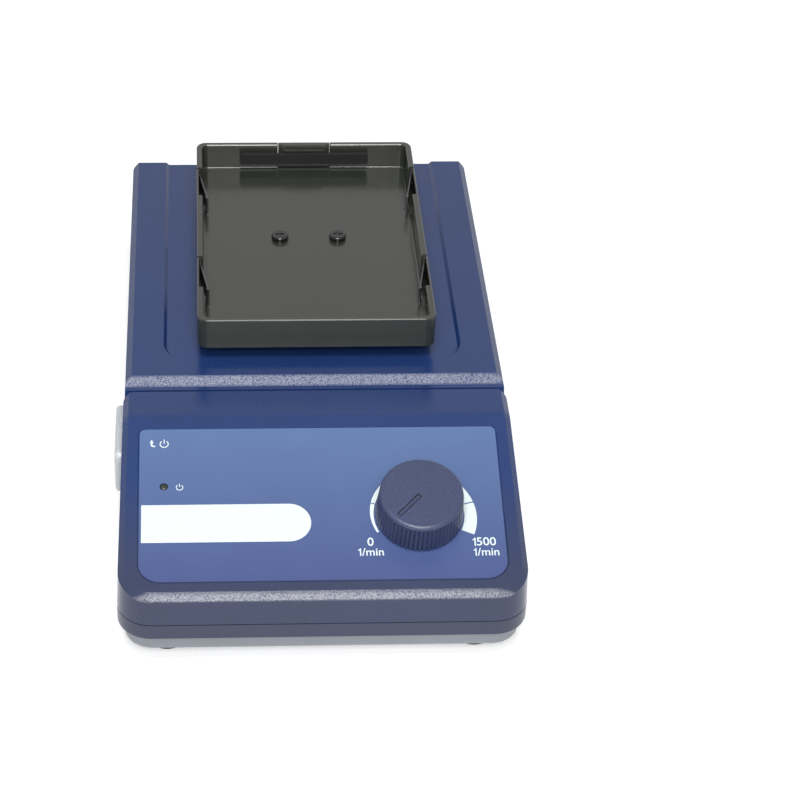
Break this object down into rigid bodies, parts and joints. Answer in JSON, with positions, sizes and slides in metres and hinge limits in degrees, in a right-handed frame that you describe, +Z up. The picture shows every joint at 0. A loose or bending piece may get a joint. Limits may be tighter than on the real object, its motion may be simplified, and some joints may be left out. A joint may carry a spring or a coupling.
{
  "type": "microplate shaker",
  "caption": "Compact orbital microplate shaker: two-tier case with a sloped speed panel and knob, a plate tray with side clips and rear clamp, and an eccentric drive with idler cranks.",
  "frame": {"origin": "centre of the bounding box in plan, on the bench under the feet", "axes": "+X to the operator's right, +Y to the back, +Z up"},
  "size_m": [0.1516, 0.26, 0.0794],
  "materials": {
    "deck_paint": "textured",
    "skirt_grey": "textured",
    "sheet_grey": "satin",
    "foot_rubber": "matte",
    "zinc_steel": "satin",
    "black_steel": "satin",
    "label_foil": "satin",
    "knob_plastic": "satin",
    "black_plastic": "satin",
    "lens_red": "gloss",
    "clear_cover": "gloss",
    "brass": "satin",
    "bronze": "satin",
    "glass_tube": "gloss",
    "board_laminate": "satin",
    "part_plastic": "satin",
    "sink_aluminium": "matte",
    "cast_aluminium": "matte",
    "lead_sleeve": "satin",
    "core_steel": "satin",
    "copper_winding": "satin",
    "ground_steel": "polished",
    "fan_plastic": "satin",
    "tray_black": "matte",
    "spring_steel": "satin",
    "pad_rubber": "matte"
  },
  "bodies": {
    "root": {"upper_housing": "deck_paint", "lower_housing": "skirt_grey", "base_plate": "sheet_grey", "rubber_feet": "foot_rubber", "foot_screws": "zinc_steel", "control_label": "label_foil", "pot_body": "zinc_steel", "pot_nut": "zinc_steel", "status_lamp": "lens_red", "lamp_bush": "black_plastic", "switch_body": "black_plastic", "switch_cover": "clear_cover", "inlet_shell": "black_plastic", "inlet_blades": "brass", "control_board": "board_laminate", "board_standoffs": "brass", "board_screws": "zinc_steel", "board_capacitors": "part_plastic", "heat_sink": "sink_aluminium", "terminal_block": "board_laminate", "mains_lead": "lead_sleeve", "board_lead": "lead_sleeve", "motor_lead": "lead_sleeve", "bearing_frame": "cast_aluminium", "frame_screws": "zinc_steel", "idler_bushes": "bronze", "motor_core": "core_steel", "motor_coil": "copper_winding", "motor_brackets": "zinc_steel", "shaft_bearings": "bronze", "motor_bolts": "zinc_steel", "motor_spacers": "zinc_steel"},
    "crank": {"motor_shaft": "ground_steel", "motor_rotor": "core_steel", "cooling_fan": "fan_plastic", "eccentric_hub": "ground_steel", "counterweight": "zinc_steel"},
    "table": {"table_plate": "cast_aluminium", "table_bearing": "ground_steel", "table_bushes": "bronze", "splash_ring": "black_plastic", "plate_tray": "tray_black", "tray_screws": "black_steel", "clamp_pin": "ground_steel"},
    "idler_front_left": {"idler_1": "ground_steel"},
    "idler_front_right": {"idler_2": "ground_steel"},
    "idler_rear_left": {"idler_3": "ground_steel"},
    "idler_rear_right": {"idler_4": "ground_steel"},
    "clamp": {"rear_clamp": "tray_black", "clamp_bar": "pad_rubber"},
    "clip_lf": {"clip_left_front": "spring_steel"},
    "clip_rf": {"clip_right_front": "spring_steel"},
    "clip_lr": {"clip_left_rear": "spring_steel"},
    "clip_rr": {"clip_right_rear": "spring_steel"},
    "knob": {"speed_knob": "knob_plastic", "knob_set_screw": "black_steel", "pot_spindle": "ground_steel"},
    "rocker": {"switch_rocker": "black_plastic"},
    "drawer": {"fuse_drawer": "black_plastic", "fuses": "glass_tube"}
  },
  "joints": [
    {"name": "drive", "type": "hinge", "parent": "root", "child": "crank", "pos_m": [0, 0.0546, 0.0436], "axis": [0, 0, 1], "continuous": true},
    {"name": "orbit", "type": "hinge", "parent": "crank", "child": "table", "pos_m": [0.00112, 0.05655, 0.05], "axis": [0, 0, 1], "continuous": true},
    {"name": "idler_front_left_turn", "type": "hinge", "parent": "root", "child": "idler_front_left", "pos_m": [-0.034, 0.0296, 0.0395], "axis": [0, 0, 1], "continuous": true},
    {"name": "idler_front_right_turn", "type": "hinge", "parent": "root", "child": "idler_front_right", "pos_m": [0.034, 0.0296, 0.0395], "axis": [0, 0, 1], "continuous": true},
    {"name": "idler_rear_left_turn", "type": "hinge", "parent": "root", "child": "idler_rear_left", "pos_m": [-0.034, 0.0796, 0.0395], "axis": [0, 0, 1], "continuous": true},
    {"name": "idler_rear_right_turn", "type": "hinge", "parent": "root", "child": "idler_rear_right", "pos_m": [0.034, 0.0796, 0.0395], "axis": [0, 0, 1], "continuous": true},
    {"name": "clamp_swing", "type": "hinge", "parent": "table", "child": "clamp", "pos_m": [0.00112, 0.1142, 0.06705], "axis": [-1, 0, 0], "range_deg": [0, 7], "stiffness_Nm_per_rad": 0.3, "springref_deg": -2.86},
    {"name": "clip_lf_flex", "type": "hinge", "parent": "table", "child": "clip_lf", "pos_m": [-0.04367, 0.026, 0.073], "axis": [0, 0, -1], "range_deg": [0, 8], "stiffness_Nm_per_rad": 0.05, "springref_deg": -2.86},
    {"name": "clip_rf_flex", "type": "hinge", "parent": "table", "child": "clip_rf", "pos_m": [0.04593, 0.026, 0.073], "axis": [0, 0, 1], "range_deg": [0, 8], "stiffness_Nm_per_rad": 0.05, "springref_deg": -2.86},
    {"name": "clip_lr_flex", "type": "hinge", "parent": "table", "child": "clip_lr", "pos_m": [-0.04367, 0.094, 0.073], "axis": [0, 0, -1], "range_deg": [0, 8], "stiffness_Nm_per_rad": 0.05, "springref_deg": -2.86},
    {"name": "clip_rr_flex", "type": "hinge", "parent": "table", "child": "clip_rr", "pos_m": [0.04593, 0.094, 0.073], "axis": [0, 0, 1], "range_deg": [0, 8], "stiffness_Nm_per_rad": 0.05, "springref_deg": -2.86},
    {"name": "knob_turn", "type": "hinge", "parent": "root", "child": "knob", "pos_m": [0.0358, -0.09542, 0.04567], "axis": [0, 0.3007, -0.9537], "range_deg": [0, 270]},
    {"name": "rocker_tip", "type": "hinge", "parent": "root", "child": "rocker", "pos_m": [-0.07191, -0.0455, 0.039], "axis": [0, 0, -1], "range_deg": [0, 12]},
    {"name": "drawer_slide", "type": "slide", "parent": "root", "child": "drawer", "axis": [0, 1, 0], "range_m": [0, 0.014]}
  ],
  "couplings": [
    {"joint": "orbit", "follows": "drive", "ratio": -1},
    {"joint": "idler_front_left_turn", "follows": "drive", "ratio": 1},
    {"joint": "idler_front_right_turn", "follows": "drive", "ratio": 1},
    {"joint": "idler_rear_left_turn", "follows": "drive", "ratio": 1},
    {"joint": "idler_rear_right_turn", "follows": "drive", "ratio": 1}
  ]
}
